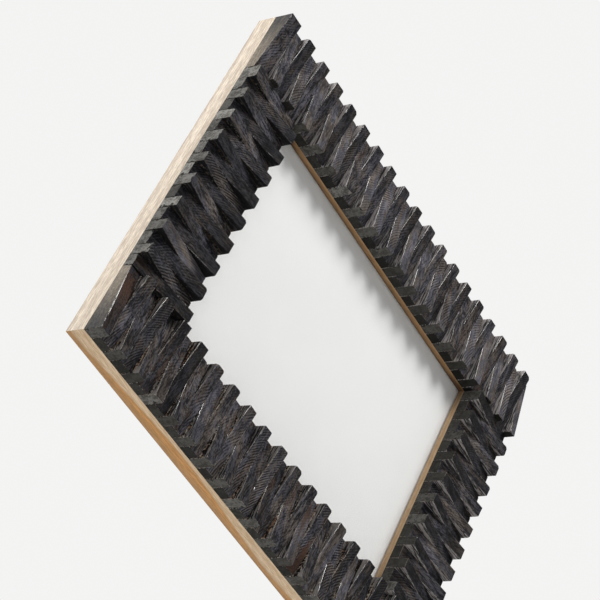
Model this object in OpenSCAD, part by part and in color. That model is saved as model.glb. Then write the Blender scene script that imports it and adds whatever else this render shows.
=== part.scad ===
// Landscape picture frame faced with wedge-shaped timber sticks.
// The front looks along -Y, +Z is up and +X is to the right.
// The origin is at the centre of the frame, in the plane of the wall that it hangs on.

/* [Picture] */
// Width of the picture sheet
picture_w = 420; // [300:5:600]
// Height of the picture sheet
picture_h = 297; // [210:1:450]
// Play of the picture and boards in the rebate, on each side
rebate_clearance = 1; // [0.5:0.1:2]

/* [Core rails] */
// Width of each rail, seen from the front
rail_w = 82.5; // [70:0.5:110]
// Thickness of the rails, without the sticks
core_t = 23.5; // [22:0.5:30]
// How far the front lip covers each edge of the picture
lip_cover = 5; // [4:0.5:8]

/* [Sticks] */
// Mean width of a stick on the bottom, top and right rails
stick_w = 15.1; // [12:0.1:20]
// Mean width of a stick on the left rail
left_stick_w = 15.9; // [12:0.1:20]
// Height of a stick above the rails at its high end, where that is the outer one
stick_high = 23.3; // [18:0.1:30]
// How much higher the high end is where that is the inner one
inner_rise = 2; // [0:0.1:4]
// Height of a stick above the rails at its low end
stick_low = 12; // [8:0.1:16]
// How much wider a stick is at its low end than at its high end
stick_taper = 4.2; // [0:0.1:6]
// Open seam between two sticks
stick_seam = 0.2; // [0.1:0.05:0.4]
// Natural variation in where two sticks meet
seam_wander = 0.8; // [0:0.1:1.2]
// Natural variation in the height of a stick's ends
height_wander = 0.5; // [0:0.1:1]
// How far the pattern on the bottom rail is moved to the right
bottom_shift = -1; // [-4:0.1:4]
// How far the pattern on the top rail is moved to the right
top_shift = 4; // [-4:0.1:4]
// How far the pattern on the left rail is moved up
left_shift = -2; // [-4:0.1:4]

/* [Glazing and boards] */
// Thickness of the clear glazing sheet
glazing_t = 2; // [1.5:0.1:3]
// Thickness of the white mount board
mount_board_t = 2.5; // [1.4:0.1:3]
// Thickness of the foam board that fills the rebate
foam_board_t = 5; // [3:0.5:6]
// Thickness of the backing board
backing_t = 6; // [3:0.5:6]

/* [Corner dowels] */
// Radius of a dowel
dowel_r = 4; // [3:0.5:5]
// Length of a dowel
dowel_l = 40; // [30:1:44]
// Distance between the two dowels of a corner, along the mitre
dowel_spacing = 44; // [30:1:50]

/* [Turn buttons] */
// Length of a turn button
button_l = 34; // [28:1:40]
// Width of a turn button
button_w = 11; // [9:0.5:14]
// Thickness of a turn button
button_t = 1.2; // [0.8:0.1:2]
// Distance from the pivot screw to the edge of the rebate
button_inset = 8; // [7:0.5:12]

/* [Screws] */
// Radius of a screw's shank
screw_r = 1.75; // [1.5:0.05:2]
// Length of a screw in the timber
screw_l = 13; // [8:0.5:16]
// Radius of a screw's head
screw_head_r = 3.3; // [3:0.1:3.8]
// Height of a screw's head
screw_head_h = 2; // [1.6:0.1:2.4]

/* [Hangers] */
// Height of the ring pivots above the centre of the frame
hanger_z = 120; // [60:1:140]
// Width of the hanger strap
strap_w = 12; // [10:0.5:16]
// Thickness of the hanger strap
strap_t = 1; // [0.8:0.1:1.5]
// Radius of the ring's wire
ring_wire_r = 1.1; // [0.9:0.1:1.5]
// Half the width of the ring, between the middles of its legs
ring_half_w = 10; // [10:0.5:12]
// Length of the straight legs of the ring
ring_leg = 4; // [3:0.5:6]
// Distance between the two screws of a strap
strap_screw_spacing = 9; // [8:0.5:12]

/* [Wall bumpers] */
// Radius of a bumper
bumper_r = 6; // [5:0.5:8]
// Thickness of a bumper
bumper_t = 5.2; // [5:0.1:8]
// Distance of a bumper's centre from the outer sides of the frame
bumper_inset = 16; // [12:1:30]

/* [Hidden] */
$fn = 48;
// Clearances: a pivot that turns, a piece that lies in a hole, and a face beside a moving piece
pivot_clearance = 0.06;
fixed_clearance = 0.05;
face_gap = 0.3;
// How much longer a blind hole is than what lies in it
hole_play = 1;
// How far a cut runs past the faces that it goes through
cut_overrun = 1;
// Metal beside a screw's head on the strap
strap_margin = 1;
// Width of the cross slot in a screw's head
head_slot_w = 0.9;

sight_w = picture_w - 2 * lip_cover;
sight_h = picture_h - 2 * lip_cover;
outer_w = sight_w + 2 * rail_w;
outer_h = sight_h + 2 * rail_w;
rebate_w = picture_w + 2 * rebate_clearance;
rebate_h = picture_h + 2 * rebate_clearance;

// Depths: the wall is at 0, the bumpers stand on it, and the frame is in front of them
back_y = -bumper_t;
core_front_y = back_y - core_t;
// The boards fill the rebate, and their last face is flush with the back of the rails
glazing_y = back_y - (glazing_t + mount_board_t + foam_board_t + backing_t);
mount_board_y = glazing_y + glazing_t;
foam_board_y = mount_board_y + mount_board_t;
backing_y = foam_board_y + foam_board_t;

// An even number of sticks on the long rails and the left one, and an odd one on the right rail
long_stick_count = 2 * round(outer_w / stick_w / 2);
left_stick_count = 2 * round(sight_h / left_stick_w / 2);
right_stick_count = 2 * round((sight_h / stick_w - 1) / 2) + 1;
// Sets that the sticks of a long and of a short rail are counted off in
long_sets = 10;
short_sets = 5;
// Which end of a rail's first stick is high
OUTER_HIGH = 0;
INNER_HIGH = 1;

// Places of the turn buttons: X, Z and the angle of the arm, where 0 points to +Z and 90 to -X.
// Each arm points inwards, over the edge of the backing board.
button_x = rebate_w / 4;
button_places = [
    [-button_x, -rebate_h / 2 - button_inset, 0],
    [button_x, -rebate_h / 2 - button_inset, 0],
    [rebate_w / 2 + button_inset, 0, 90],
    [button_x, rebate_h / 2 + button_inset, 180],
    [-button_x, rebate_h / 2 + button_inset, 180],
    [-rebate_w / 2 - button_inset, 0, -90],
];
button_count = len(button_places);

// The ring's wire clears the strap that it hangs down over
ring_y = back_y + strap_t + face_gap + ring_wire_r;
loop_bore_r = ring_wire_r + pivot_clearance;
loop_r = loop_bore_r + strap_t;
// The first strap screw lies just below the ring
strap_screw_z = ring_leg + ring_half_w + ring_wire_r + strap_margin + screw_head_r;
strap_l = strap_screw_z + strap_screw_spacing + screw_head_r + strap_margin;
hanger_x = (outer_w - rail_w) / 2;
hanger_sides = [-1, 1];

// A flat shape drawn in X and Z, as a plate between two depths
module plate(from_y, to_y) {
    translate([0, to_y, 0]) rotate([90, 0, 0]) linear_extrude(to_y - from_y) children();
}

// A round bar along Y, between two depths
module rod(r, from_y, to_y) {
    translate([0, to_y, 0]) rotate([90, 0, 0]) cylinder(r = r, h = to_y - from_y);
}

// Puts what is drawn along +X, with the rail's outer side at Z = 0, onto a rail
module on_bottom() { translate([-outer_w / 2, 0, -outer_h / 2]) children(); }
module on_top() { translate([-outer_w / 2, 0, outer_h / 2]) mirror([0, 0, 1]) children(); }
module on_left() { translate([-outer_w / 2, 0, -outer_h / 2]) mirror([1, 0, -1]) children(); }
module on_right() {
    translate([outer_w / 2, 0, -outer_h / 2]) mirror([1, 0, 0]) mirror([1, 0, -1]) children();
}

// One mitred rail of a given outer length, without its holes
module rail_bar(l) {
    plate(core_front_y, back_y)
        polygon([[0, 0], [l, 0], [l - rail_w, rail_w], [rail_w, rail_w]]);
}

// The space for the glazing and the boards
module rebate() {
    plate(glazing_y, back_y + cut_overrun) square([rebate_w, rebate_h], center = true);
}

// Everything that is drilled or cut into the rails
module rail_cuts() {
    rebate();
    dowels(dowel_r + fixed_clearance, dowel_l + hole_play);
    for (p = button_places) translate([p[0], 0, p[1]]) pilot_hole();
    for (side = hanger_sides, i = [0, 1])
        translate([side * hanger_x, 0, strap_screw_height(i)]) pilot_hole();
}

module pilot_hole() {
    rod(screw_r + fixed_clearance, back_y - screw_l - hole_play, back_y + cut_overrun);
}

// The two dowels across each mitre, square to the mitre's plane
module dowels(r, l) {
    for (sx = [-1, 1], sz = [-1, 1], k = [-1, 1])
        translate([
            sx * (outer_w / 2 - rail_w / 2 + k * dowel_spacing / 2 * cos(45)),
            back_y - core_t / 2,
            sz * (outer_h / 2 - rail_w / 2 + k * dowel_spacing / 2 * cos(45))
        ])
            rotate([0, -45 * sx * sz, 0]) cylinder(r = r, h = l, center = true);
}

module bottom_rail() {
    color("burlywood") difference() { on_bottom() rail_bar(outer_w); rail_cuts(); }
}
module top_rail() {
    color("burlywood") difference() { on_top() rail_bar(outer_w); rail_cuts(); }
}
module left_rail() {
    color("burlywood") difference() { on_left() rail_bar(outer_h); rail_cuts(); }
}
module right_rail() {
    color("burlywood") difference() { on_right() rail_bar(outer_h); rail_cuts(); }
}

// Natural variation from -1 to 1, the same each time for the same two numbers
function wander(i, salt) = sin(i * 137.5 + salt * 71) * cos(i * 53 + salt * 29);

// Where the seam before stick i meets the rail's outer (end = 0) or inner (end = 1) side
function seam(i, n, l, shift, first, end, salt) =
    i == 0 ? 0 :
    i == n ? l :
    i * l / n + shift
        + seam_wander * wander(i, salt)
        + ((i + first + end) % 2 == 0 ? 1 : -1) * stick_taper / 4;

function high_end(i, salt) = stick_high + height_wander * (wander(i, salt + 3) - 1);
function low_end(i, salt) = stick_low + height_wander * wander(i, salt + 5);

// One stick: a wedge in height, and a little wider at its low end
module stick(i, n, l, shift, first, salt) {
    outer_is_high = (i + first) % 2 == 0;
    outer_z = outer_is_high ? high_end(i, salt) : low_end(i, salt);
    inner_z = outer_is_high ? low_end(i, salt) : high_end(i, salt) + inner_rise;
    // The seam is open by half its width on each side of a stick, but not at the rail's ends
    start_gap = i == 0 ? 0 : stick_seam / 2;
    end_gap = i == n - 1 ? 0 : stick_seam / 2;
    intersection() {
        plate(core_front_y - 2 * stick_high, core_front_y)
            polygon([
                [seam(i, n, l, shift, first, 0, salt) + start_gap, 0],
                [seam(i + 1, n, l, shift, first, 0, salt) - end_gap, 0],
                [seam(i + 1, n, l, shift, first, 1, salt) - end_gap, rail_w],
                [seam(i, n, l, shift, first, 1, salt) + start_gap, rail_w]
            ]);
        translate([-cut_overrun, 0, 0]) rotate([90, 0, 90]) linear_extrude(l + 2 * cut_overrun)
            polygon([
                [core_front_y, 0],
                [core_front_y - outer_z, 0],
                [core_front_y - inner_z, rail_w],
                [core_front_y, rail_w]
            ]);
    }
}

// The sticks of one set of a rail
module stick_set(set, sets, n, l, shift, first, salt) {
    color("darkslategray")
        for (i = [0 : n - 1])
            if (floor(i * sets / n) == set - 1) stick(i, n, l, shift, first, salt);
}

module bottom_sticks(set) {
    on_bottom() stick_set(set, long_sets, long_stick_count, outer_w, bottom_shift, OUTER_HIGH, 1);
}
module top_sticks(set) {
    on_top() stick_set(set, long_sets, long_stick_count, outer_w, top_shift, OUTER_HIGH, 2);
}
// The sticks of the short rails lie between those of the long rails
module left_sticks(set) {
    on_left() translate([rail_w, 0, 0])
        stick_set(set, short_sets, left_stick_count, sight_h, left_shift, INNER_HIGH, 3);
}
module right_sticks(set) {
    on_right() translate([rail_w, 0, 0])
        stick_set(set, short_sets, right_stick_count, sight_h, 0, INNER_HIGH, 4);
}

// A sheet of the picture's size that starts at a depth
module sheet(from_y, t) {
    plate(from_y, from_y + t) square([picture_w, picture_h], center = true);
}

module glazing() { color("lightcyan", 0.4) sheet(glazing_y, glazing_t); }
module mount_board() { color("white") sheet(mount_board_y, mount_board_t); }
module foam_board() { color("gainsboro") sheet(foam_board_y, foam_board_t); }
module backing_board() { color("peru") sheet(backing_y, backing_t); }

module corner_dowels() { color("tan") dowels(dowel_r, dowel_l); }

// A flat plate with round ends that turns on its screw, the long arm towards +Z
module turn_button(i) {
    p = button_places[i - 1];
    r = button_w / 2;
    reach = button_l - button_w;
    color("goldenrod") translate([p[0], 0, p[1]]) rotate([0, -p[2], 0])
        plate(back_y + face_gap, back_y + face_gap + button_t)
            difference() {
                union() {
                    circle(r);
                    translate([-r, 0]) square([button_w, reach]);
                    translate([0, reach]) circle(r);
                }
                circle(screw_r + pivot_clearance);
            }
}

// Half the outline of a domed screw head, from shares of its radius and height
function head_outline(r, h) =
    [for (p = [[0, 0], [1, 0], [1, 0.45], [0.7, 0.9], [0.3, 1], [0, 1]]) [p[0] * r, p[1] * h]];

// A screw driven into the back, with its head on what starts at seat_y
module screw(seat_y) {
    slot_l = screw_head_r * 1.2;
    slot_depth = screw_head_h * 0.6;
    difference() {
        union() {
            rod(screw_r, back_y - screw_l, seat_y);
            translate([0, seat_y, 0]) rotate([-90, 0, 0])
                rotate_extrude() polygon(head_outline(screw_head_r, screw_head_h));
        }
        for (a = [0, 90]) rotate([0, a, 0])
            translate([-slot_l / 2, seat_y + screw_head_h - slot_depth, -head_slot_w / 2])
                cube([slot_l, slot_depth + cut_overrun, head_slot_w]);
    }
}

module turn_button_screws() {
    color("silver")
        for (p = button_places) translate([p[0], 0, p[1]]) screw(back_y + 2 * face_gap + button_t);
}

// Height of the strap's first (0) or second (1) screw
function strap_screw_height(i) = hanger_z - strap_screw_z - i * strap_screw_spacing;

// A strap folded round the ring's bar and screwed to the back of a side rail
module strap(side) {
    color("silver") translate([side * hanger_x, 0, 0])
        difference() {
            union() {
                plate(back_y, back_y + strap_t) translate([-strap_w / 2, hanger_z - strap_l])
                    square([strap_w, strap_l]);
                translate([0, ring_y, hanger_z]) rotate([0, 90, 0])
                    cylinder(r = loop_r, h = strap_w, center = true);
            }
            translate([0, ring_y, hanger_z]) rotate([0, 90, 0])
                cylinder(r = loop_bore_r, h = strap_w + 2 * cut_overrun, center = true);
            for (i = [0, 1]) translate([0, 0, strap_screw_height(i)])
                rod(screw_r + fixed_clearance, back_y - cut_overrun, back_y + strap_t + cut_overrun);
        }
}

module left_strap() { strap(-1); }
module right_strap() { strap(1); }

// A D-shaped wire ring that hangs down from its bar
module ring(side) {
    color("silver") translate([side * hanger_x, ring_y, hanger_z]) {
        rotate([0, 90, 0]) cylinder(r = ring_wire_r, h = 2 * ring_half_w, center = true);
        for (sx = [-1, 1]) translate([sx * ring_half_w, 0, 0]) {
            sphere(r = ring_wire_r);
            translate([0, 0, -ring_leg]) cylinder(r = ring_wire_r, h = ring_leg);
        }
        translate([0, 0, -ring_leg]) rotate([90, 180, 0])
            rotate_extrude(angle = 180) translate([ring_half_w, 0]) circle(ring_wire_r);
    }
}

module left_ring() { ring(-1); }
module right_ring() { ring(1); }

module strap_screws() {
    color("silver")
        for (side = hanger_sides, i = [0, 1])
            translate([side * hanger_x, 0, strap_screw_height(i)]) screw(back_y + strap_t);
}

// Soft pads that keep the frame and its hangers off the wall
module wall_bumpers() {
    color("dimgray")
        for (sx = [-1, 1], sz = [-1, 1])
            translate([sx * (outer_w / 2 - bumper_inset), 0, sz * (outer_h / 2 - bumper_inset)])
                rod(bumper_r, back_y, 0);
}

bottom_rail();
top_rail();
left_rail();
right_rail();
for (i = [1 : long_sets]) {
    bottom_sticks(i);
    top_sticks(i);
}
for (i = [1 : short_sets]) {
    left_sticks(i);
    right_sticks(i);
}
glazing();
mount_board();
foam_board();
backing_board();
corner_dowels();
for (i = [1 : button_count])
    turn_button(i);
turn_button_screws();
left_strap();
right_strap();
left_ring();
right_ring();
strap_screws();
wall_bumpers();
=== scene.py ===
"""Looks of a picture frame: a pale mitred timber core, faced with blackened wedge sticks."""

import math
import random

import bmesh
import bpy
from mathutils import Matrix, Vector


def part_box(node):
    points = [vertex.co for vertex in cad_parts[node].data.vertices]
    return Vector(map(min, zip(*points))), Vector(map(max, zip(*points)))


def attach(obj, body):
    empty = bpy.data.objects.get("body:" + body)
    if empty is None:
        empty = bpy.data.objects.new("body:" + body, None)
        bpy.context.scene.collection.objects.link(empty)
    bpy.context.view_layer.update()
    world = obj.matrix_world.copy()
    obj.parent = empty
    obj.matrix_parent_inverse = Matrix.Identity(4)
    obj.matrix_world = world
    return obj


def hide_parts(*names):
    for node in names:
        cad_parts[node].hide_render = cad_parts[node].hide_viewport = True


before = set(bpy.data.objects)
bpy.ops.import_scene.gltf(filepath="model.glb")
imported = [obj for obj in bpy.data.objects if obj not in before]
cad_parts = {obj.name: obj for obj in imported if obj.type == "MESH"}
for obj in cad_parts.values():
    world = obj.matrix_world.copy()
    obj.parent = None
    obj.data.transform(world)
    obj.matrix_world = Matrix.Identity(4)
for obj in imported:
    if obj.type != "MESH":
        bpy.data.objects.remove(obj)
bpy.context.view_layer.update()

MM = 0.001

# The rails' outer corners, low and high, and half the width and height of the opening
RAIL_BOX = (
    Vector((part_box("left_rail")[0].x, 0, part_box("bottom_rail")[0].z)),
    Vector((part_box("right_rail")[1].x, 0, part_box("top_rail")[1].z)),
)
OPENING_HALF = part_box("right_rail")[0].x
OPENING_HALF_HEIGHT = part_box("top_rail")[0].z
# Depths of the core's front, which the sticks stand on, and of its back
CORE_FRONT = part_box("bottom_rail")[0].y
RAIL_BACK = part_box("bottom_rail")[1].y

RAILS = ("bottom", "top", "left", "right")
LONG_RAILS = ("bottom", "top")
# The direction from each rail's outer side to the opening
INWARD = {
    "bottom": Vector((0, 0, 1)),
    "top": Vector((0, 0, -1)),
    "left": Vector((1, 0, 0)),
    "right": Vector((-1, 0, 0)),
}
# How many CAD nodes hold the sticks of each rail
STICK_SETS = {"bottom": 10, "top": 10, "left": 5, "right": 5}


def from_outside(rail, co):
    """How far a point is from a rail's outer side, towards the opening."""
    low, high = RAIL_BOX
    return {
        "bottom": co.z - low.z,
        "top": high.z - co.z,
        "left": co.x - low.x,
        "right": high.x - co.x,
    }[rail]


def along_rail(rail, co):
    """How far a point is along a rail, from the middle of the opening."""
    return co.x if rail in LONG_RAILS else co.z


# Camera, lamps, floor and background


# The camera stands where the photograph was taken from, and is rolled as it was
CAMERA_PLACE = (-1.14139, -1.29656, -1.18804)
CAMERA_RIGHT = (0.497645, -0.779359, 0.380721)
CAMERA_UP = (-0.694227, -0.094740, 0.713494)
# Sensor width and focal length in millimetres, then the nearest and furthest that it sees in metres
SENSOR_WIDTH = 36
LENS = 118.33
SEEN_FROM = 0.05
SEEN_TO = 60

FLOOR_HALF_WIDTH = 5
FLOOR_HEIGHT = -1.6
# How strongly the backdrop lights the frame from in front and from behind, and its own colour
GLOW_IN_FRONT = 0.25
GLOW_BEHIND = 0.8
BACKDROP = (0.9, 0.9, 0.893)
# Each lamp's name, direction from the frame, distance, width and power
LAMPS = (
    ("top_lamp", (0.05, -0.68, 0.73), 3.4, 1.5, 92),
    ("side_lamp", (-0.62, 0.55, 0.5), 2.3, 1.2, 26),
    ("front_lamp", (-0.62, -0.52, 0.59), 2.3, 0.5, 7),
)


def aim(place, right, up):
    """A placing matrix from a position and the directions right and up in the picture."""
    right = Vector(right).normalized()
    up = (Vector(up) - right * Vector(up).dot(right)).normalized()
    back = right.cross(up)
    turn = Matrix((right, up, back)).transposed()
    return Matrix.Translation(Vector(place)) @ turn.to_4x4()


def camera():
    """The scene's camera, at the photograph's viewing angle."""
    data = bpy.data.cameras.new("camera")
    data.sensor_width = SENSOR_WIDTH
    data.lens = LENS
    data.clip_start = SEEN_FROM
    data.clip_end = SEEN_TO
    made = bpy.data.objects.new("camera", data)
    made.matrix_world = aim(CAMERA_PLACE, CAMERA_RIGHT, CAMERA_UP)
    bpy.context.scene.collection.objects.link(made)
    bpy.context.scene.camera = made


def soft_lamp(name, direction, distance, width, power):
    """A square soft box that faces the middle of the frame from a direction."""
    data = bpy.data.lights.new(name, "AREA")
    data.shape = "SQUARE"
    data.size = width
    data.energy = power
    made = bpy.data.objects.new(name, data)
    place = Vector(direction).normalized() * distance
    made.location = place
    made.rotation_mode = "QUATERNION"
    made.rotation_quaternion = (-place).to_track_quat("-Z", "Y")
    made.visible_camera = False
    bpy.context.scene.collection.objects.link(made)


# Shader maths


class Value:
    """An output of a node, so that numbers that change over a surface combine as in Python."""

    def __init__(self, sheet, socket):
        self.sheet = sheet
        self.socket = socket

    def worked(self, operation, *values):
        """The outcome of a Math node on some values."""
        return self.sheet.node("ShaderNodeMath", {"operation": operation}, dict(enumerate(values)))

    def __add__(self, other):
        return self.worked("ADD", self, other)

    def __radd__(self, other):
        return self.worked("ADD", other, self)

    def __sub__(self, other):
        return self.worked("SUBTRACT", self, other)

    def __rsub__(self, other):
        return self.worked("SUBTRACT", other, self)

    def __mul__(self, other):
        return self.worked("MULTIPLY", self, other)

    def __rmul__(self, other):
        return self.worked("MULTIPLY", other, self)

    def __truediv__(self, other):
        return self.worked("DIVIDE", self, other)

    def __pow__(self, other):
        return self.worked("POWER", self, other)

    def __abs__(self):
        return self.worked("ABSOLUTE", self)

    def wave(self):
        return self.worked("SINE", self)

    def most(self, other):
        return self.worked("MAXIMUM", self, other)

    def least(self, other):
        return self.worked("MINIMUM", self, other)


class Finish:
    """A material or world and the nodes that make it."""

    def __init__(self, owner):
        owner.use_nodes = True
        self.owner = owner
        self.tree = owner.node_tree
        self.tree.nodes.clear()

    def node(self, kind, settings=None, values=None, output=0):
        """Adds a node, sets its settings first, then its sockets, and gives one of its outputs."""
        made = self.tree.nodes.new(kind)
        for key, value in (settings or {}).items():
            setattr(made, key, value)
        for key, value in (values or {}).items():
            socket = made.inputs[key]
            if isinstance(value, Value):
                self.tree.links.new(value.socket, socket)
            else:
                socket.default_value = value
        return Value(self, made.outputs[output]) if made.outputs else made

    def own_place(self):
        """The place on the piece, in metres."""
        return self.node("ShaderNodeTexCoord", output="Object")

    def marked(self, name):
        """What a piece's mesh keeps under a name, as a vector."""
        return self.node("ShaderNodeAttribute", {"attribute_name": name}, output="Vector")

    def parts(self, vector):
        """The three numbers of a vector."""
        made = self.node("ShaderNodeSeparateXYZ", values={0: vector}).socket.node
        return [Value(self, made.outputs[i]) for i in range(3)]

    def stretched(self, vector, scale):
        return self.node("ShaderNodeVectorMath", {"operation": "MULTIPLY"}, {0: vector, 1: scale})

    def shifted(self, vector, by):
        return self.node("ShaderNodeVectorMath", {"operation": "ADD"}, {0: vector, 1: by})

    def length(self, vector):
        return self.node("ShaderNodeVectorMath", {"operation": "LENGTH"}, {0: vector}, "Value")

    def cloud(self, vector, scale, detail=3, rough=0.5, warp=0):
        """Smooth random values from 0 to 1 that change over a length of 1 / scale metres."""
        return self.node(
            "ShaderNodeTexNoise",
            {"noise_dimensions": "3D"},
            {
                "Vector": vector,
                "Scale": scale,
                "Detail": detail,
                "Roughness": rough,
                "Distortion": warp,
            },
            "Fac",
        )

    def cells(self, vector, scale):
        """The distance to the nearest of many scattered points."""
        values = {"Vector": vector, "Scale": scale}
        return self.node("ShaderNodeTexVoronoi", {"feature": "F1"}, values, "Distance")

    def step(self, value, start, end, low=0, high=1):
        """A smooth change from low to high while the value goes from start to end."""
        return self.node(
            "ShaderNodeMapRange",
            {"interpolation_type": "SMOOTHSTEP", "clamp": True},
            {
                "Value": value,
                "From Min": start,
                "From Max": end,
                "To Min": low,
                "To Max": high,
            },
        )

    def blend(self, share, first, second, way="MIX"):
        """Two colours mixed by a share from 0 to 1."""
        return self.node(
            "ShaderNodeMix",
            {"data_type": "RGBA", "blend_type": way, "clamp_factor": True},
            {0: share, 6: rgb(first), 7: rgb(second)},
            2,
        )

    def bump(self, height, depth, strength):
        """A surface that stands up to a depth in metres where the height is 1."""
        return self.node(
            "ShaderNodeBump", values={"Height": height, "Distance": depth, "Strength": strength}
        )

    def skin(self, **values):
        """The main shader, with spaces in its socket names written as underscores."""
        named = {key.replace("_", " "): rgb(value) for key, value in values.items()}
        return self.node("ShaderNodeBsdfPrincipled", values=named)

    def finished(self, shader, kind="ShaderNodeOutputMaterial"):
        self.node(kind, values={"Surface": shader})
        return self.owner


def rgb(colour):
    """A three-part colour with its fourth part, and anything else as it is."""
    return (*colour, 1) if isinstance(colour, tuple) and len(colour) == 3 else colour


def darker(colour, share):
    """A colour at a share of its lightness."""
    return tuple(part * share for part in colour)


def finish(name):
    """A new material, with no nodes yet."""
    return Finish(bpy.data.materials.new(name))


def studio():
    """A pale floor, a near-white backdrop, and soft light that is dimmer in front of the frame."""
    world = bpy.data.worlds.new("studio")
    bpy.context.scene.world = world
    sheet = Finish(world)
    path = sheet.node("ShaderNodeLightPath").socket.node
    camera_ray, glossy_ray, clear_ray = (
        Value(sheet, path.outputs[f"Is {kind} Ray"])
        for kind in ("Camera", "Glossy", "Transmission")
    )
    _, away, _ = sheet.parts(sheet.node("ShaderNodeTexCoord", output="Generated"))
    behind = sheet.step(away, -0.2, 0.15)

    def glow(strength, colour=(1, 1, 1)):
        values = {"Color": rgb(colour), "Strength": strength}
        return sheet.node("ShaderNodeBackground", values=values)

    def mixed(share, first, second):
        return sheet.node("ShaderNodeMixShader", values={0: share, 1: first, 2: second})

    light = mixed(behind, glow(GLOW_IN_FRONT), glow(GLOW_BEHIND))
    seen = camera_ray.most(clear_ray).most(glossy_ray * behind)
    look = mixed(seen, light, glow(1.0, BACKDROP))
    sheet.finished(look, "ShaderNodeOutputWorld")

    bm = bmesh.new()
    bmesh.ops.create_grid(bm, x_segments=1, y_segments=1, size=FLOOR_HALF_WIDTH)
    bmesh.ops.translate(bm, verts=bm.verts, vec=(0, 0, FLOOR_HEIGHT))
    floor = new_object("floor", bm)
    paint = finish("floor_paint")
    tint = paint.cloud(paint.own_place(), 3, 4)
    colour = paint.blend(tint, (0.78, 0.78, 0.77), (0.82, 0.82, 0.81))
    floor.data.materials.append(paint.finished(paint.skin(Base_Color=colour, Roughness=0.8)))

    for lamp in LAMPS:
        soft_lamp(*lamp)


# Making pieces


# Points nearer than this are merged
MERGE_DISTANCE = 1e-6
# Points nearer than this are the same point
SAME_PLACE = 1e-7
# Faces that turn by less than this are one flat face
FLAT_TURN = math.radians(0.5)


def new_object(name, bm):
    """An object at the origin whose mesh is what a bmesh holds."""
    mesh = bpy.data.meshes.new(name)
    bm.to_mesh(mesh)
    bm.free()
    made = bpy.data.objects.new(name, mesh)
    bpy.context.scene.collection.objects.link(made)
    return made


def add_piece(name, bm, material, body, node):
    """A finished piece that moves with a body and stands for a CAD node."""
    made = new_object(name, bm)
    made.data.materials.append(material)
    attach(made, body)
    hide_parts(node)


def merged_copy(node):
    """A CAD node's solid with its triangles merged into whole flat faces."""
    bm = bmesh.new()
    bm.from_mesh(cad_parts[node].data)
    for layer in list(bm.loops.layers.uv):
        bm.loops.layers.uv.remove(layer)
    bmesh.ops.remove_doubles(bm, verts=bm.verts, dist=MERGE_DISTANCE)
    bmesh.ops.dissolve_limit(
        bm,
        angle_limit=FLAT_TURN,
        use_dissolve_boundaries=False,
        verts=bm.verts,
        edges=bm.edges,
    )
    return bm


def soften(bm, edges, width, segments=2):
    """Rounds edges and gives the new faces."""
    made = bmesh.ops.bevel(
        bm,
        geom=edges,
        offset=width,
        offset_type="OFFSET",
        affect="EDGES",
        segments=segments,
        profile=0.5,
        clamp_overlap=True,
        material=-1,
    )
    return set(made["faces"])


def sharp_edges(bm, degrees=30):
    """The edges between two faces that turn by more than an angle."""
    limit = math.radians(degrees)
    return [e for e in bm.edges if len(e.link_faces) == 2 and e.calc_face_angle(0) > limit]


def shade(bm, degrees=40):
    """Smooth shading, apart from edges that turn by more than an angle."""
    for face in bm.faces:
        face.smooth = True
    sharp = set(sharp_edges(bm, degrees))
    for edge in bm.edges:
        edge.smooth = edge not in sharp


def islands(bm):
    """The separate solids of a bmesh, as lists of faces."""
    unmet = set(bm.faces)
    found = []
    while unmet:
        start = unmet.pop()
        group = [start]
        queue = [start]
        while queue:
            for edge in queue.pop().edges:
                for face in edge.link_faces:
                    if face in unmet:
                        unmet.remove(face)
                        group.append(face)
                        queue.append(face)
        found.append(group)
    return found


def corner_place(vert):
    """What corners are sorted by, so that each run meets them in the same order."""
    return vert.co[:]


def face_place(face):
    """What faces are sorted by, so that each run meets them in the same order."""
    return sorted(corner_place(vert) for vert in face.verts)


# Finishes


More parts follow.
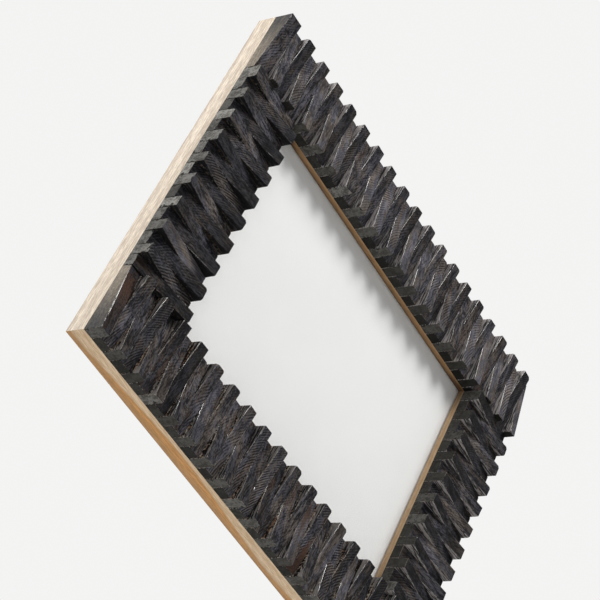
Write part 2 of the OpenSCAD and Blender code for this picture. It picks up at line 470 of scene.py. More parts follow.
def blackened_timber():
    """Charred stick: black and blue-grey grain, arcs of a saw, brown seams and worn arrises."""
    s = finish("blackened_timber")
    place = s.marked("stick_place")
    tone_with_painted_light, sawn, warmth = s.parts(s.marked("stick_kind"))
    bare_with_painted_shade, end, sooty = s.parts(s.marked("face_kind"))
    off, half, drop = s.parts(s.marked("arris"))
    above_seam, worn, burnt = s.parts(s.marked("stick_depth"))
    from_arris = (half - abs(off)).least(drop)
    side = s.step(bare_with_painted_shade, 0, 0.02) * (1 - end)
    open_side = s.step(sooty, -0.2, -0.8)

    grain = s.cloud(s.stretched(place, (42, 260, 260)), 1, 3, 0.6)
    fine = s.cloud(s.stretched(place, (110, 900, 900)), 1, 2, 0.5)
    band = s.cloud(s.stretched(place, (14, 130, 130)), 1, 3, 0.5)
    streak = s.cloud(s.stretched(place, (16, 420, 420)), 1, 2, 0.5)
    grit = s.cloud(place, 430, 2, 0.6)
    blotch = s.cloud(place, 62, 3, 0.55)
    edge = s.cloud(place, 120, 2, 0.5)

    reach = s.length(s.marked("saw_place")) * (2 * math.pi)
    ridge = s.step((reach + s.cloud(place, 150, 1) * 3).wave(), -0.5, 0.8)
    cut = s.step(edge * 0.5 + blotch * 0.5, 0.42, 0.54) * sawn * (1 - end) * (1 - side * 0.6)

    plain = s.step(tone_with_painted_light, 0.5, 0.85)
    light = s.step(grain * 0.42 + grit * 0.24 + fine * 0.34, 0.42, 0.6)
    light = light * (1 - plain * 0.55) + plain * 0.27
    light = light * s.step(blotch, 0.34, 0.62, 0.5 + plain * 0.3, 1)
    hue = s.step(band * 0.6 + blotch * 0.4, 0.4, 0.6)
    black = s.blend(hue, (0.005, 0.0049, 0.0066), (0.0102, 0.0085, 0.0075))
    ash = s.blend(hue, (0.117, 0.1165, 0.14), (0.13, 0.111, 0.098))
    colour = s.blend(light, black, ash)
    colour = s.blend(cut * ridge * 0.6, colour, ash)
    colour = s.blend(cut * (1 - ridge) * 0.9, colour, (0.004, 0.004, 0.005))
    # The tone paints light and shade as well as the char's own lightness: fronts that face the
    # lamps are made lighter
    lightness = s.blend(tone_with_painted_light, (0.35, 0.35, 0.37), (2.2, 2.15, 2.12))
    colour = s.blend(1.0, colour, lightness, "MULTIPLY")
    brown = s.blend(grit, (0.014, 0.008, 0.006), (0.1, 0.052, 0.034))
    rust = s.step(band * 0.5 + blotch * 0.3 + grit * 0.2 + warmth * 0.09, 0.53, 0.62)
    colour = s.blend(rust * warmth * s.step(above_seam, 4, -6, 0.3, 1), colour, brown)
    # Painted shade: the fronts darken where they sink below the fronts beside them
    colour = s.blend(s.step(above_seam, -2, -11) * 0.35, colour, (0.003, 0.003, 0.004))
    colour = s.blend(s.step(above_seam, -4, 8) * burnt, colour, (0.004, 0.004, 0.0045))

    pale = s.step(streak * 0.55 + fine * 0.45 + bare_with_painted_shade * 0.1, 0.53, 0.64)
    grey = s.blend(pale, (0.05, 0.045, 0.047), (0.46, 0.43, 0.42))
    crumb = s.step(grit * 0.6 + streak * 0.4, 0.49, 0.58)
    cream = s.blend(s.step(grain, 0.42, 0.56), (0.7, 0.62, 0.52), (0.3, 0.18, 0.11))
    seam = s.blend(crumb, (0.012, 0.009, 0.008), cream)
    soot = s.blend(pale * 0.75, (0.014, 0.0135, 0.015), (0.34, 0.315, 0.3))
    torn = s.step(edge * 0.4 + band * 0.6, 0.47, 0.53)
    soot = s.blend(s.step(above_seam - torn * 3.5, 2.5, 0.5) * (0.25 + 0.75 * torn), soot, seam)
    grey = s.blend(s.step(sooty, 0, 1), grey, soot)
    grey = s.blend(open_side, grey, weathered_wood(s, band, grain, fine, grit))
    colour = s.blend(side * bare_with_painted_shade, s.blend(side, colour, (0.006, 0.006, 0.007)), grey)

    mottle = s.step(grit * 0.5 + edge * 0.5, 0.38, 0.6) * s.step(bare_with_painted_shade, 0.2, 0.6, 0.5, 1)
    cut_end = s.blend(mottle, (0.12, 0.113, 0.1), (0.34, 0.33, 0.305))
    # The ends' bare share is cut where shade is painted on them, so they turn darker there
    colour = s.blend(end, colour, s.blend(bare_with_painted_shade, (0.007, 0.007, 0.006), cut_end))
    singed = s.step((edge - 0.54) * 22 - from_arris, 0, 0.8) * s.step(bare_with_painted_shade, 0.1, 0.5, 0.3, 0.9)
    colour = s.blend(end * singed, colour, (0.006, 0.006, 0.006))
    chipped = s.step(grit * 0.55 + blotch * 0.45, 0.5, 0.56) * s.step(from_arris, 0.9, 0.1)
    colour = s.blend(chipped * worn * 0.8, colour, (0.36, 0.31, 0.26))

    in_places = s.step(band * 0.65 + grit * 0.35 + worn * 0.14, 0.53, 0.57)
    rubbed = s.step(from_arris, 0.9, 0.3) * in_places * (0.15 + 0.85 * worn) * (1 - end)
    height = grain * 0.5 + grit * 0.4 + fine * 0.2 + ridge * cut * 0.4
    return s.finished(
        s.skin(
            Base_Color=colour,
            Roughness=0.9 - 0.12 * light,
            Normal=s.bump(height, 0.6 * MM, 0.9),
            Specular_IOR_Level=0.15,
            Coat_Weight=rubbed,
            Coat_Roughness=0.17,
            Coat_IOR=2.2,
        )
    )


def weathered_wood(s, band, grain, fine, grit):
    """Open sides at the ends of the long rails: brown wood, dark grey near the outer corners."""
    _, _, z = s.parts(s.own_place())
    outward = s.step(abs(z) + band * 0.03, 0.165, 0.235)
    colour = s.blend(outward, (0.37, 0.32, 0.265), (0.09, 0.09, 0.093))
    colour = s.blend(s.step(band, 0.4, 0.6) * 0.4, colour, (0.2, 0.165, 0.125))
    streak = s.step(fine * 0.5 + grain * 0.5, 0.46, 0.62) * 0.4
    colour = s.blend(streak, colour, (0.08, 0.07, 0.06))
    speck = s.step(fine * 0.5 + grit * 0.5, 0.4, 0.62)
    lightness = s.blend(speck, (0.72, 0.72, 0.73), (1.22, 1.2, 1.14))
    return s.blend(1.0, colour, lightness, "MULTIPLY")


# What sets the timber of the four rails apart:
# light, dark, heart: colours of its early wood, its late wood and its heartwood
# seam_depth, seam_swing: where the heartwood starts and how far that swings, as shares of the depth
# seam_length, seam_start: the length of one swing in metres, and the angle that it starts at
# heart_share: how strongly the heartwood shows
# back_shade: how much darker the back half is
RAIL_TIMBER = {
    "bottom": {
        "light": (0.77, 0.59, 0.4),
        "dark": (0.55, 0.375, 0.215),
        "heart": (0.62, 0.285, 0.062),
        "seam_depth": 0.46,
        "seam_swing": 0.26,
        "seam_length": 0.355,
        "seam_start": 0.38,
        "heart_share": 0.9,
        "back_shade": 0.35,
    },
    "top": {
        "light": (0.76, 0.46, 0.21),
        "dark": (0.53, 0.29, 0.115),
        "heart": (0.58, 0.27, 0.07),
        "seam_depth": 0.4,
        "seam_swing": 0.12,
        "seam_length": 0.3,
        "seam_start": 2,
        "heart_share": 0.6,
        "back_shade": 0.15,
    },
    "left": {
        "light": (0.86, 0.725, 0.55),
        "dark": (0.55, 0.435, 0.33),
        "heart": (0.5, 0.39, 0.29),
        "seam_depth": 0.92,
        "seam_swing": 0.08,
        "seam_length": 0.5,
        "seam_start": 3,
        "heart_share": 0.4,
        "back_shade": 0.05,
    },
    "right": {
        "light": (0.78, 0.55, 0.33),
        "dark": (0.58, 0.37, 0.19),
        "heart": (0.54, 0.29, 0.11),
        "seam_depth": 0.75,
        "seam_swing": 0.1,
        "seam_length": 0.4,
        "seam_start": 4,
        "heart_share": 0.6,
        "back_shade": 0.15,
    },
}
# The width of a year's growth
RING_WIDTH = 2.3 * MM
# How far from the opening's corners the painted shade in the lip's corners starts, and where it is
# full
LIP_CORNER_SHADE = (0.045, 0.005)
# The colour of the lip's char stain and painted shade
LIP_STAIN_AND_SHADE_COLOUR = (0.075, 0.034, 0.011)


def along_only(along, slow):
    """A scale that draws a pattern out along one axis."""
    return (slow, 1, 1) if along == "X" else (1, 1, slow)


def pale_timber(rail, seed):
    """Straight-grained pale timber of one rail, with heartwood behind a wavy seam, and a lip
    darkened by char stain and by painted shade.
    """
    timber = RAIL_TIMBER[rail]
    light, dark, heart = (timber[part] for part in ("light", "dark", "heart"))
    along = "X" if rail in LONG_RAILS else "Z"
    s = finish(f"pale_timber_{rail}")
    own = s.own_place()
    x, y, z = s.parts(own)
    across, run = (z, x) if along == "X" else (x, z)
    shifted = s.shifted(own, (seed * 0.37, seed * 0.21, seed * 0.53))
    grain = s.stretched(shifted, along_only(along, 0.05))
    wander = s.cloud(grain, 60, 2, 0.5)
    radius = ((across - 0.02 * seed) ** 2 + (y + 0.09) ** 2) ** 0.5
    ring = (radius * (2 * math.pi / RING_WIDTH) + wander * 16).wave() * 0.5 + 0.5
    lines = s.cloud(grain, 760, 3, 0.65)
    mottle = s.cloud(s.stretched(own, along_only(along, 0.09)), 1050, 3, 0.6)
    pores = s.step(s.cloud(s.stretched(own, along_only(along, 0.12)), 1400, 2, 0.5), 0.58, 0.7)

    late = s.step(ring * 0.06 + lines * 0.38 + mottle * 0.52, 0.39, 0.56)
    colour = s.blend(late, light, dark)
    depth = (y - CORE_FRONT) / (RAIL_BACK - CORE_FRONT)
    swing = (run * (2 * math.pi / timber["seam_length"]) + timber["seam_start"]).wave()
    seam = depth + (wander - 0.5) * 0.3 - timber["seam_depth"] - swing * timber["seam_swing"]
    share = timber["heart_share"]
    heartwood = s.blend(late, heart, darker(heart, 0.7))
    colour = s.blend(s.step(seam, -0.05, 0.06) * share, colour, heartwood)
    colour = s.blend(s.step(abs(seam), 0.1, 0.0) * share * 0.5, colour, darker(heart, 0.75))
    colour = s.blend(pores * 0.35, colour, darker(dark, 0.45))
    colour = s.blend(s.step(depth, 0.5, 0.95) * timber["back_shade"], colour, darker(dark, 0.35))
    # The lip is darkened by char stain and painted shade, and by more painted shade towards the
    # opening's corners
    stain_and_shade, inside, _ = s.parts(s.marked("lip"))
    half = OPENING_HALF if along == "X" else OPENING_HALF_HEIGHT
    start, full = LIP_CORNER_SHADE
    corner = s.step(abs(run), half - start, half - full) * inside
    lip_stain_and_shade = (stain_and_shade + corner * 0.35) * s.step(lines, 0.25, 0.6, 1, 0.75)
    colour = s.blend(lip_stain_and_shade, colour, LIP_STAIN_AND_SHADE_COLOUR)
    rough = 0.5 + 0.14 * late
    height = lines * 0.5 + mottle * 0.3 + (1 - pores) * 0.4
    normal = s.bump(height, 0.16 * MM, 0.7)
    return s.finished(s.skin(Base_Color=colour, Roughness=rough, Normal=normal))


def white_board():
    """Matt white board with a fine paper tooth."""
    s = finish("white_board")
    own = s.own_place()
    tooth = s.cloud(own, 900, 4, 0.6)
    cast = s.cloud(own, 14, 2)
    colour = s.blend(s.step(cast, 0.35, 0.65), (0.835, 0.835, 0.825), (0.85, 0.85, 0.842))
    normal = s.bump(tooth, 0.06 * MM, 0.5)
    return s.finished(
        s.skin(Base_Color=colour, Roughness=0.9, Normal=normal, Specular_IOR_Level=0.2)
    )


def clear_glazing():
    """A clear sheet that hardly mirrors."""
    s = finish("clear_glazing")
    smear = s.cloud(s.own_place(), 9, 2)
    rough = 0.05 + 0.04 * smear
    return s.finished(s.skin(Base_Color=(0.93, 0.96, 0.95), Roughness=rough, Alpha=0.06))


def foam_board():
    """White foam with fine beads."""
    s = finish("foam_board")
    own = s.own_place()
    bead = s.cells(own, 700)
    colour = s.blend(bead, (0.74, 0.74, 0.72), (0.84, 0.84, 0.83))
    normal = s.bump(bead, 0.1 * MM, 0.5)
    return s.finished(s.skin(Base_Color=colour, Roughness=0.85, Normal=normal))


def backing_board():
    """Brown pressed fibre board, with pale and dark fibres."""
    s = finish("backing_board")
    own = s.own_place()
    fibres = s.cloud(s.stretched(own, (1, 1, 0.5)), 1500, 4, 0.7, 0.6)
    flecks = s.step(s.cloud(s.stretched(own, (0.4, 1, 1)), 900, 2, 0.5, 1.0), 0.6, 0.72)
    patches = s.cloud(own, 18, 3)
    colour = s.blend(s.step(fibres, 0.3, 0.7), (0.2, 0.115, 0.06), (0.34, 0.21, 0.118))
    colour = s.blend(s.step(patches, 0.4, 0.7) * 0.35, colour, (0.25, 0.145, 0.076))
    colour = s.blend(flecks * 0.4, colour, (0.46, 0.32, 0.2))
    rough = 0.62 + 0.14 * fibres
    normal = s.bump(fibres, 0.12 * MM, 0.6)
    return s.finished(s.skin(Base_Color=colour, Roughness=rough, Normal=normal))


def dowel_timber():
    """Plain timber with fine flecks."""
    s = finish("dowel_timber")
    fleck = s.cloud(s.own_place(), 900, 3, 0.6)
    colour = s.blend(fleck, (0.56, 0.4, 0.25), (0.68, 0.52, 0.36))
    normal = s.bump(fleck, 0.1 * MM, 0.5)
    return s.finished(s.skin(Base_Color=colour, Roughness=0.6, Normal=normal))


def plated(name, clean, dull, scratch, rough):
    """Plated metal with fine scratches, a dull film in patches and small pits."""
    s = finish(name)
    own = s.own_place()
    film = s.step(s.cloud(own, 140, 4, 0.6), 0.38, 0.7)
    lines = s.cloud(s.stretched(own, scratch), 2600, 2, 0.5)
    pits = s.step(s.cloud(own, 1700, 2, 0.5), 0.62, 0.74)
    colour = s.blend(film, clean, dull)
    colour = s.blend(pits * 0.4, colour, darker(dull, 0.45))
    roughness = rough + 0.22 * film + 0.1 * lines
    normal = s.bump(lines * 0.7 + (1 - pits) * 0.3, 0.03 * MM, 0.5)
    return s.finished(
        s.skin(Base_Color=colour, Metallic=1.0, Roughness=roughness, Normal=normal)
    )


def bumper_rubber():
    """Black rubber with dust on it."""
    s = finish("bumper_rubber")
    own = s.own_place()
    grain = s.cloud(own, 2400, 3, 0.6)
    dust = s.step(s.cloud(own, 260, 3, 0.6), 0.45, 0.75)
    colour = s.blend(dust * 0.5, (0.028, 0.028, 0.03), (0.085, 0.082, 0.078))
    rough = 0.62 + 0.2 * dust
    normal = s.bump(grain, 0.08 * MM, 0.5)
    return s.finished(s.skin(Base_Color=colour, Roughness=rough, Normal=normal))


# Sticks


# What sets the sticks of the four rails apart, each a share from 0 to 1:
# bare_with_painted_shade: grey wood that the char leaves on the sides, the high ends and the low
# ends; the low ends' smaller shares also paint the shade that they stand in
# sooty: how dark the gaps are
# tones_with_painted_light: how light the char may be when the stick is high outside, and when it is
# high inside; as these fronts face up or down, left or right, the two ranges paint their light and
# shade as well as random tone
# sawn, warm, worn: the most saw marks, brown wood and rubbed arrises that a stick has
# burnt: how much darker the parts are that stand out
RAIL_CHAR = {
    "bottom": {
        "bare_with_painted_shade": (0.95, 0.31, 0.13),
        "sooty": 1.0,
        "tones_with_painted_light": ((0.05, 0.8), (0.0, 0.75)),
        "sawn": 0.9,
        "warm": 1.0,
        "worn": 1.0,
        "burnt": 0.44,
    },
    "top": {
        "bare_with_painted_shade": (0.95, 0.38, 0.08),
        "sooty": 0.15,
        "tones_with_painted_light": ((0.0, 0.5), (0.5, 1.0)),
        "sawn": 0.7,
        "warm": 0.5,
        "worn": 0.8,
        "burnt": 0.34,
    },
    "left": {
        "bare_with_painted_shade": (0.12, 0.68, 0.6),
        "sooty": 1.0,
        "tones_with_painted_light": ((0.1, 1.0), (0.0, 0.35)),
        "sawn": 0.85,
        "warm": 0.4,
        "worn": 0.1,
        "burnt": 0.5,
    },
    "right": {
        "bare_with_painted_shade": (0.8, 0.38, 0.2),
        "sooty": 0.2,
        "tones_with_painted_light": ((0.2, 0.9), (0.0, 0.1)),
        "sawn": 0.6,
        "warm": 0.5,
        "worn": 0.6,
        "burnt": 0.5,
    },
}


# How near counts as on an edge, an end or the front of a stick, as at the end of a rail, and as
# on the base of a stick
ON_STICK = 0.1 * MM
ON_RAIL_END = 1 * MM
ON_BASE = 0.2 * MM
# A face whose direction has more than this share along another one faces that way
FACING = 0.7

# How many chips a long edge has
CHIP_COUNTS = (0, 1, 1, 2)
SHORTEST_CHIPPED = 14 * MM
# The least and the most of a chip's place along its edge, its half length in millimetres, the
# lean of its deepest point and its depth in millimetres
CHIP_PLACE = (0.15, 0.85)
CHIP_REACH = (1.0, 3.4)
CHIP_LEAN = (-0.5, 0.5)
CHIP_DEPTH = (0.5, 1.5)
# The least and the most that a corner is worn back and cut off, and that an arris is rounded, in
# millimetres, and the share of corners that are cut
CORNER_WEAR = (0, 1.1)
CORNER_CUT = (0.7, 2.8)
ARRIS_WIDTH = (0.45, 0.8)
CUT_CORNERS = 0.55

# How far the grain of a stick may be shifted from that of its neighbours, in metres
GRAIN_SHIFT = 0.6
# Most sticks have few saw marks and little brown wood: their shares are powers of a random number
SAWN_POWER = 1.3
WARM_POWER = 2
WORN_SHARE = (0.6, 1)
# How much the bare wood varies, on all faces and once more on the ends
BARE_SHARE = (0.8, 1.2)
BARE_END_SHARE = (0.45, 1.4)
# Painted shade: the share of it left on inner ends past the opening, which face a short rail's
# sticks and stand in their shade
PAST_OPENING_PAINTED_SHADE = 0.25
# Painted shade: the top rail's inner ends darken by this share towards its right end, over this
# length
CORNER_SHADE = 0.75
CORNER_REACH = 110 * MM
# The direction from a stick to the saw's centre, in degrees, and how much it varies
SAW_WAY = {"bottom": -38, "top": -38, "left": -59, "right": -59}
SAW_WAY_SPREAD = 9
# The centre's distance in metres, and the distance between the saw's arcs in millimetres
SAW_DISTANCE = (0.07, 0.16)
SAW_PITCH = (2.3, 2.9)


class Stick:
    """One wedge stick, measured along from its outer end, across, and high from its base."""

    def __init__(self, faces, rail, number):
        self.rail = rail
        self.inward = INWARD[rail]
        self.chance = random.Random(f"{rail} {number}")
        self.broken = set()
        corners = sorted({v for f in faces for v in f.verts}, key=corner_place)
        self.bm = bmesh.new()
        twin = {v: self.bm.verts.new(v.co) for v in corners}
        for face in sorted(faces, key=face_place):
            ring = [twin[v] for v in face.verts]
            first = ring.index(min(ring, key=corner_place))
            self.bm.faces.new(ring[first:] + ring[:first])
        along = [self.along(v.co) for v in corners]
        self.length = max(along) - min(along)
        self.ends = []
        for end in (0, self.length):
            here = [v.co for v in corners if abs(self.along(v.co) - end) < ON_STICK]
            across = [self.across(co) for co in here]
            self.ends.append((min(across), max(across), max(self.high(co) for co in here)))

    def along(self, co):
        return from_outside(self.rail, co)

    def across(self, co):
        return along_rail(self.rail, co)

    def high(self, co):
        return CORE_FRONT - co.y

    def limits(self, along):
        """Where the two long sides and the front are at a distance along the stick."""
        share = along / self.length
        return [a + (b - a) * share for a, b in zip(*self.ends)]

    def is_outside(self, face):
        """True for a side that nothing stands beside, at the end of a long rail."""
        x = face.calc_center_median().x
        nearest = min(abs(x - corner.x) for corner in RAIL_BOX)
        return self.rail in LONG_RAILS and nearest < ON_RAIL_END

    def long_edge(self, which):
        """The longest edge between the front and one long side."""
        def at_edge(vert):
            along = self.along(vert.co)
            low, high, top = self.limits(along)
            off = self.across(vert.co) - (low, high)[which]
            return abs(off) < ON_STICK and abs(self.high(vert.co) - top) < ON_STICK

        found = [e for e in self.bm.edges if all(at_edge(v) for v in e.verts)]
        return max(found, key=lambda e: e.calc_length())

    def chip(self, which):
        """Breaks a splinter out of one long front edge."""
        chance = self.chance
        edge = self.long_edge(which)
        length = edge.calc_length()
        if length < SHORTEST_CHIPPED:
            return
        start, end = (v.co.copy() for v in edge.verts)
        faces = list(edge.link_faces)
        made = bmesh.ops.subdivide_edges(self.bm, edges=[edge], cuts=3)
        points = [v for v in made["geom_inner"] if isinstance(v, bmesh.types.BMVert)]
        points.sort(key=lambda v: (v.co - start).length)
        middle = chance.uniform(*CHIP_PLACE) * length
        reach = chance.uniform(*CHIP_REACH) * MM
        places = (middle - reach, middle + reach * chance.uniform(*CHIP_LEAN), middle + reach)
        for vert, place in zip(points, places):
            vert.co = start.lerp(end, place / length)
        first, deepest, last = points
        hollow = []
        for face in faces:
            inward = (end - start).cross(face.normal).normalized()
            if inward.dot(face.calc_center_median() - start) < 0:
                inward = -inward
            point = deepest.co + inward * chance.uniform(*CHIP_DEPTH) * MM
            made_face, _ = bmesh.utils.face_split(
                face, first, last, coords=(point,), use_exist=False
            )
            hollow.append(point)
            corners = [v for f in (face, made_face) for v in f.verts]
            self.broken.update(v for v in corners if (v.co - point).length < SAME_PLACE)
        deepest.co = (hollow[0] + hollow[1]) / 2
        self.broken.add(deepest)

    def carve(self):
        """Worn corners, chipped edges and rounded arrises."""
        chance = self.chance
        for which in (0, 1):
            for _ in range(chance.choice(CHIP_COUNTS)):
                self.chip(which)
        corners = [v for v in self.bm.verts if self.is_corner(v)]
        for vert in corners:
            is_outer = self.along(vert.co) < self.length / 2
            to_middle = self.inward * (1 if is_outer else -1)
            vert.co += to_middle * chance.uniform(*CORNER_WEAR) * MM
            if chance.random() < CUT_CORNERS:
                bmesh.ops.bevel(
                    self.bm,
                    geom=[vert],
                    offset=chance.uniform(*CORNER_CUT) * MM,
                    offset_type="OFFSET",
                    affect="VERTICES",
                    segments=1,
                    profile=0.5,
                    material=-1,
                )
        arrises = [e for e in sharp_edges(self.bm, 35) if self.is_arris(e)]
        rounded = soften(self.bm, arrises, chance.uniform(*ARRIS_WIDTH) * MM)
        self.bm.normal_update()
        shade(self.bm, 8)
        for edge in self.bm.edges:
            if all(face in rounded for face in edge.link_faces):
                edge.smooth = True

    def is_corner(self, vert):
        """True for a corner between the front, a long side and an end."""
        along = self.along(vert.co)
        low, high, top = self.limits(along)
        at_end = min(along, self.length - along) < ON_STICK
        at_side = min(abs(self.across(vert.co) - edge) for edge in (low, high)) < ON_STICK
        return at_end and at_side and abs(self.high(vert.co) - top) < ON_STICK

    def is_arris(self, edge):
        """True for an edge of the wedge above its base that isn't part of a chip."""
        is_whole = not self.broken.intersection(edge.verts)
        return is_whole and max(self.high(v.co) for v in edge.verts) > ON_BASE

    def mark(self):
        """Keeps on the mesh what the finish reads."""
        chance = self.chance
        char = RAIL_CHAR[self.rail]
        layers = self.bm.verts.layers.float_vector
        place = layers.new("stick_place")
        saw_place = layers.new("saw_place")
        kind = layers.new("stick_kind")
        depth = layers.new("stick_depth")
        face_kind = self.bm.faces.layers.float_vector.new("face_kind")
        arris = self.bm.loops.layers.float_vector.new("arris")

        high_inside = self.ends[1][2] > self.ends[0][2]
        # Which range is taken depends on which way the front faces, so this tone paints light and
        # shade as well as random tone
        tone_with_painted_light = chance.uniform(*char["tones_with_painted_light"][high_inside])
        sawn = char["sawn"] * chance.random() ** SAWN_POWER
        warm = char["warm"] * chance.random() ** WARM_POWER
        worn = char["worn"] * chance.uniform(*WORN_SHARE)
        shift = Vector([chance.uniform(0, GRAIN_SHIFT) for _ in range(3)])
        middle = sum((v.co for v in self.bm.verts), Vector()) / len(self.bm.verts)
        bare_side, bare_ends_with_painted_shade = self.bare_wood_with_painted_shade(char["bare_with_painted_shade"], high_inside, middle)
        spread = chance.uniform(-SAW_WAY_SPREAD, SAW_WAY_SPREAD)
        way = math.radians(SAW_WAY[self.rail] + spread)
        direction = Vector((math.cos(way), 0, math.sin(way)))
        saw_centre = middle + direction * chance.uniform(*SAW_DISTANCE)
        pitch = chance.uniform(*SAW_PITCH) * MM

        both_ends = self.ends[0][2] + self.ends[1][2]
        for vert in self.bm.verts:
            along = self.along(vert.co)
            high = self.high(vert.co)
            vert[place] = Vector((along, self.across(vert.co), high)) + shift
            vert[kind] = Vector((tone_with_painted_light, sawn, warm))
            vert[saw_place] = (vert.co - saw_centre) / pitch
            # The fronts beside this one rise where it falls, so this is the height above the seam
            above_seam = (high - both_ends + self.limits(along)[2]) / MM
            vert[depth] = Vector((above_seam, worn, char["burnt"]))
        for face in self.bm.faces:
            ahead = face.normal.dot(self.inward)
            is_end = abs(ahead) > FACING
            is_side = not is_end and face.normal.y >= -FACING
            bare_with_painted_shade = bare_ends_with_painted_shade[ahead > 0] if is_end else bare_side * is_side
            sooty = -1.0 if self.is_outside(face) else char["sooty"]
            face[face_kind] = Vector((bare_with_painted_shade, is_end, sooty))
            for loop in face.loops:
                co = loop.vert.co
                low, high, top = self.limits(self.along(co))
                off, half = self.across(co) - (low + high) / 2, (high - low) / 2
                if is_side:
                    off, half = self.high(co), top
                drop = top - self.high(co) if is_end else 1
                loop[arris] = Vector((off, half, drop)) / MM

    def bare_wood_with_painted_shade(self, shares, high_inside, middle):
        """How bare the stick's sides are, and how bare its outer and its inner end, with painted
        shade on inner ends in the corners.
        """
        chance = self.chance
        side, high_end, low_end = (min(1.0, b * chance.uniform(*BARE_SHARE)) for b in shares)
        ends = [low_end, high_end] if high_inside else [high_end, low_end]
        ends = [min(1.0, b * chance.uniform(*BARE_END_SHARE)) for b in ends]
        if self.rail in LONG_RAILS and abs(middle.x) > OPENING_HALF:
            ends[1] *= PAST_OPENING_PAINTED_SHADE
        if self.rail == "top":
            nearness = min(1, max(0, 1 - (OPENING_HALF - middle.x) / CORNER_REACH))
            ends[1] *= 1 - CORNER_SHADE * nearness
        return side, ends


def start_along(rail, faces):
    """Where along its rail a stick starts."""
    return min(along_rail(rail, vert.co) for face in faces for vert in face.verts)


def stick_sets():
    """Every set of sticks as one piece, each stick worn and marked on its own."""
    material = blackened_timber()
    for rail, sets in STICK_SETS.items():
        number = 0
        for k in range(1, sets + 1):
            node = f"{rail}_sticks_{k}"
            solid = merged_copy(node)
            whole = bmesh.new()
            holder = bpy.data.meshes.new("holder")
            for faces in sorted(islands(solid), key=lambda faces: start_along(rail, faces)):
                stick = Stick(faces, rail, number)
                stick.carve()
                stick.bm.normal_update()
                stick.mark()
                stick.bm.to_mesh(holder)
                stick.bm.free()
                whole.from_mesh(holder)
                number += 1
            solid.free()
            bpy.data.meshes.remove(holder)
            add_piece(
                f"{rail}_charred_sticks_{k}", whole, material, "frame", node
            )


# Core rails


# How dark the lip round the picture is stained and painted with shade, at its front and deep in,
# from 0 to 1; the darker deep parts and most of the top lip's darkness are painted shade, the rest
# is char stain
LIP_STAIN_AND_SHADE = {"bottom": (0.2, 0.4), "top": (0.55, 1.1), "left": (0.2, 0.4), "right": (0.4, 0.35)}
# How far in the deep part of the stain and painted shade starts, and how far back from the lip's
# edge it reaches
LIP_FRONT = 5 * MM
LIP_MARGIN = 2 * MM
# Room round the boards in the rebate
BOARD_PLAY = 1 * MM


def runs_along(edge, way):
    """1 for an edge that runs a given way, and 0 for one across it."""
    return abs((edge.verts[0].co - edge.verts[1].co).normalized().dot(way))


def mitred_rail(rail, profile):
    """A rail's solid: its profile drawn out along its outer side, and cut at both mitres."""
    low, high = RAIL_BOX
    corners = {
        "bottom": ((low.x, low.z), (high.x, low.z)),
        "top": ((low.x, high.z), (high.x, high.z)),
        "left": ((low.x, low.z), (low.x, high.z)),
        "right": ((high.x, low.z), (high.x, high.z)),
    }[rail]
    inward = INWARD[rail]
    way = Vector((1, 0, 0)) if rail in LONG_RAILS else Vector((0, 0, 1))
    length = high.x - low.x if rail in LONG_RAILS else high.z - low.z

    bm = bmesh.new()
    x, z = corners[0]
    verts = [bm.verts.new((x + inward.x * c, y, z + inward.z * c)) for c, y in profile]
    made = bmesh.ops.extrude_face_region(bm, geom=[bm.faces.new(verts)])
    moved = [v for v in made["geom"] if isinstance(v, bmesh.types.BMVert)]
    bmesh.ops.translate(bm, verts=moved, vec=way * length)
    for (x, z), side in zip(corners, (-1, 1)):
        cut = bmesh.ops.bisect_plane(
            bm,
            geom=bm.verts[:] + bm.edges[:] + bm.faces[:],
            plane_co=(x, 0, z),
            plane_no=inward + way * side,
            dist=SAME_PLACE,
            clear_outer=True,
        )
        rim = [e for e in cut["geom_cut"] if isinstance(e, bmesh.types.BMEdge)]
        bmesh.ops.edgeloop_fill(bm, edges=rim)
    bmesh.ops.remove_doubles(bm, verts=bm.verts, dist=MERGE_DISTANCE)
    bmesh.ops.recalc_face_normals(bm, faces=bm.faces)
    soften(bm, [e for e in sharp_edges(bm) if runs_along(e, way) > 0.99], 0.35 * MM)
    soften(bm, [e for e in sharp_edges(bm, 40) if runs_along(e, way) < 0.9], 0.08 * MM, 1)
    shade(bm, 35)
    return bm


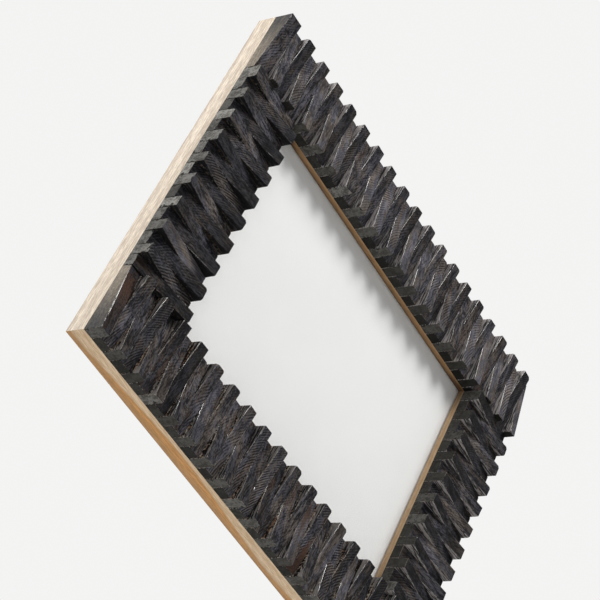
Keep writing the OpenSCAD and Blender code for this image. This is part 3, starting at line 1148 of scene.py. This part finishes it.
def core_rails():
    """Four mitred rails with a rebate for the boards, each of its own timber."""
    low, _ = RAIL_BOX
    boards_low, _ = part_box("backing_board")
    glazing_low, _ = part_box("glazing")
    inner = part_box("left_rail")[1].x - low.x
    rebate = boards_low.x - BOARD_PLAY - low.x
    profile = [
        (0, RAIL_BACK),
        (rebate, RAIL_BACK),
        (rebate, glazing_low.y),
        (inner, glazing_low.y),
        (inner, CORE_FRONT),
        (0, CORE_FRONT),
    ]
    for seed, rail in enumerate(RAILS, 1):
        bm = mitred_rail(rail, profile)
        lip = bm.verts.layers.float_vector.new("lip")
        for vert in bm.verts:
            # The lip's marks carry its char stain and its painted shade, which is deepest next to
            # the boards
            is_deep = vert.co.y > CORE_FRONT + LIP_FRONT
            if from_outside(rail, vert.co) > inner - LIP_MARGIN:
                vert[lip] = (LIP_STAIN_AND_SHADE[rail][is_deep], 1, 0)
        material = pale_timber(rail, seed)
        add_piece(f"{rail}_core_rail", bm, material, "frame", f"{rail}_rail")


# Boards and fittings


def dress(node, material):
    """Gives a CAD node that keeps its own shape a finish."""
    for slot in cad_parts[node].material_slots:
        slot.material = material


def softened_node(name, node, material, body, width, segments=2):
    """Replaces a CAD node by its own solid with rounded arrises."""
    bm = merged_copy(node)
    soften(bm, sharp_edges(bm), width, segments)
    shade(bm)
    add_piece(name, bm, material, body, node)


def boards():
    """The sheets in the rebate, and the dowels in the corners."""
    dress("glazing", clear_glazing())
    dress("mount_board", white_board())
    dress("foam_board", foam_board())
    dress("corner_dowels", dowel_timber())
    board = backing_board()
    softened_node("pressed_backing", "backing_board", board, "frame", 0.5 * MM)


BUTTON_COUNT = 6


def fittings():
    """What is screwed to the back: turn buttons, hangers and bumpers."""
    brass = plated("button_brass", (0.78, 0.56, 0.25), (0.5, 0.34, 0.15), (0.05, 1, 1), 0.26)
    zinc = plated("zinc_steel", (0.72, 0.72, 0.7), (0.5, 0.5, 0.49), (1, 1, 0.06), 0.3)
    for i in range(1, BUTTON_COUNT + 1):
        node = f"turn_button_{i}"
        body = f"button_{i}"
        softened_node(f"brass_button_{i}", node, brass, body, 0.28 * MM)
    softened_node("button_screws", "turn_button_screws", zinc, "frame", 0.12 * MM)
    softened_node("hanger_screws", "strap_screws", zinc, "frame", 0.12 * MM)
    for side in ("left", "right"):
        strap = f"{side}_strap"
        softened_node(f"{side}_hanger_strap", strap, zinc, "frame", 0.2 * MM)
        ring = f"{side}_ring"
        bm = merged_copy(ring)
        shade(bm, 50)
        add_piece(f"{side}_wire_ring", bm, zinc, ring, ring)
    rubber = bumper_rubber()
    softened_node("rubber_bumpers", "wall_bumpers", rubber, "frame", 1.4 * MM, 4)


bpy.context.scene.view_settings.view_transform = "Standard"
camera()
studio()
core_rails()
stick_sets()
boards()
fittings()
